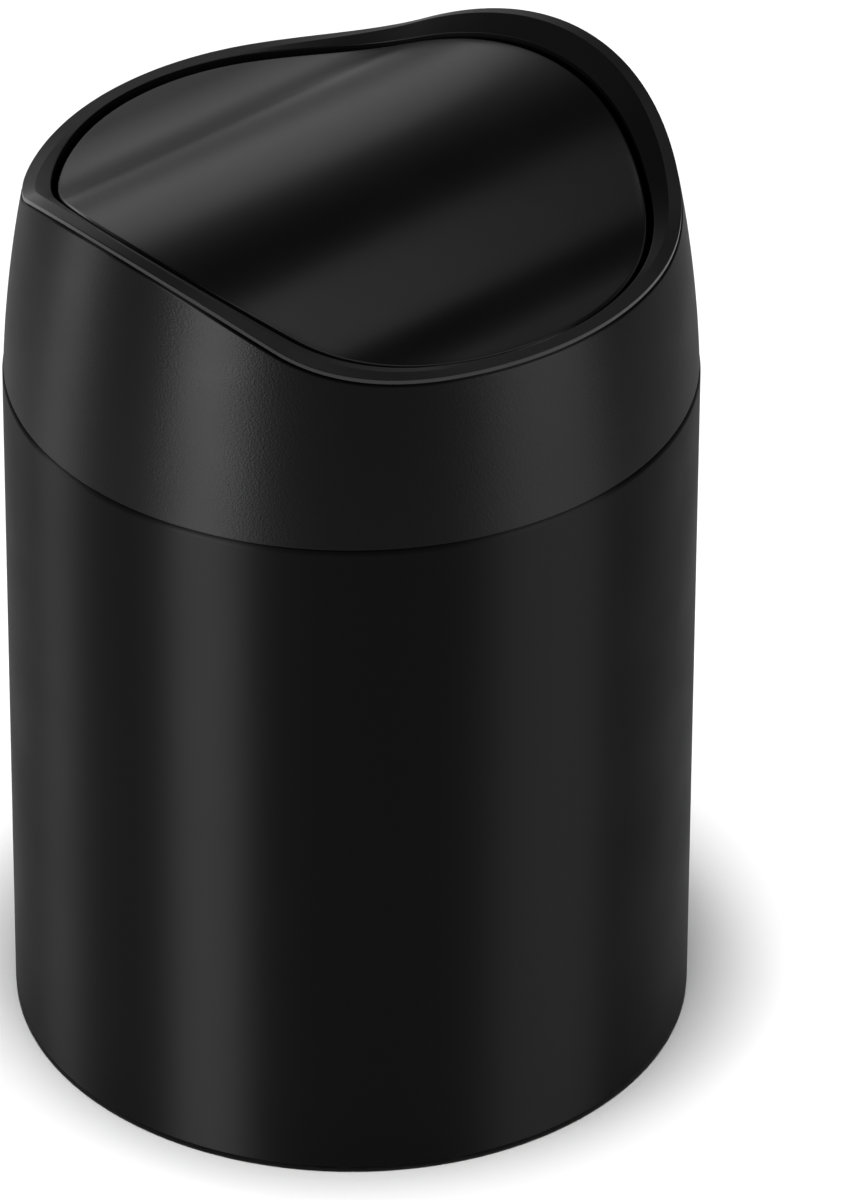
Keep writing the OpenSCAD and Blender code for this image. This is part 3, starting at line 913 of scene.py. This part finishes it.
def studio_world():
    """A pale wall behind the can, brightest a little above it, in a dim room."""
    world = bpy.data.worlds.new("studio")
    bpy.context.scene.world = world
    world.use_nodes = True
    way = node(world, "TexCoord").outputs["Generated"]
    height = node(world, "SeparateXYZ", {"Vector": way}).outputs["Z"]
    ahead = {0: way, 1: direction(WALL_AZIMUTH, 0)}
    back = node(world, "VectorMath", ahead, operation="DOT_PRODUCT").outputs["Value"]
    wall = maths(world, "MULTIPLY", ramp(world, height, -0.25, 0.1), ramp(world, height, 0.68, 0.45))
    wall = maths(world, "MULTIPLY", wall, ramp(world, back, 0, 0.6))
    background = world.node_tree.nodes["Background"]
    background.inputs["Color"].default_value = (1, 1, 1, 1)
    level = remap(world, wall, 0, 1, DIM_ROOM, WALL_LEVEL)
    world.node_tree.links.new(level, background.inputs["Strength"])


camera()
studio_world()
floor = studio_floor()

# Materials that more than one piece has
INNER = inner_plastic()
RUBBER = foot_rubber()
BUSH = bush_plastic()
SCREWS = screw_steel()
PINS = pin_steel()

# The body and collar, lit by the strong lamps
walls = [
    finish_piece(make_body(), "bin_body", "body_paint", body_paint(), "body_tube"),
    finish_piece(make_collar(), "collar_unit", "collar_plastic", collar_plastic(), "collar"),
]

# All other pieces, lit by weaker lamps
fittings = [
    finish_piece(make_floor(), "bin_body", "floor_steel", floor_paint(), "floor_pan"),
    finish_piece(make_base(), "bin_body", "base_plastic", INNER, "base_moulding"),
    finish_piece(make_rim(), "collar_unit", "rim_plastic", rim_plastic(), "rim_ring"),
    finish_piece(softened("collar_screws", 0.12), "collar_unit", "screw_steel", SCREWS, "collar_screws"),
    finish_piece(make_lid(), "lid", "lid_plastic", lid_plastic(), "lid_panel"),
    finish_piece(softened("lid_underside", 0.25), "lid", "underside_plastic", INNER, "lid_underside"),
    finish_piece(softened("lid_weight", 0.3), "lid", "weight_steel", weight_steel(), "lid_weight"),
    finish_piece(softened("lid_screws", 0.12), "lid", "screw_steel", SCREWS, "lid_screws"),
]
for i in range(4):
    fittings.append(finish_piece(make_pad(i), "bin_body", "foot_rubber", RUBBER, f"foot_pad_{i + 1}"))
for side in ("left", "right"):
    bush, pin = "pivot_bush_" + side, "pivot_pin_" + side
    fittings.append(finish_piece(softened(bush, 0.12), "collar_unit", "bush_plastic", BUSH, bush))
    fittings.append(finish_piece(softened(pin, 0.25), "lid", "pin_steel", PINS, pin))

# Soft boxes, each with its azimuth, elevation, width and height in degrees, and its radiance
light_only([
    softbox("wall_key", -86, 12, 22, 25, 60),
    softbox("wall_left", -142, 12, 15, 25, 22),
    softbox("wall_right", 22, 22, 36, 40, 15),
], walls)
light_only([
    softbox("key", -86, 12, 22, 25, 7),
    softbox("fill", 22, 22, 36, 40, 2),
], fittings)
light_only([
    softbox("overhead", 90, 68, 26, 23, 0.8),
    softbox("back_card", 153, 29, 28, 22, 0.42, 0.5),
    softbox("back", 172, 8, 24, 16, 1),
], walls + fittings)
light_only([softbox("floor_light", -58, 87, 12, 12, 106)], [floor])

bpy.context.scene.view_settings.view_transform = "Standard"
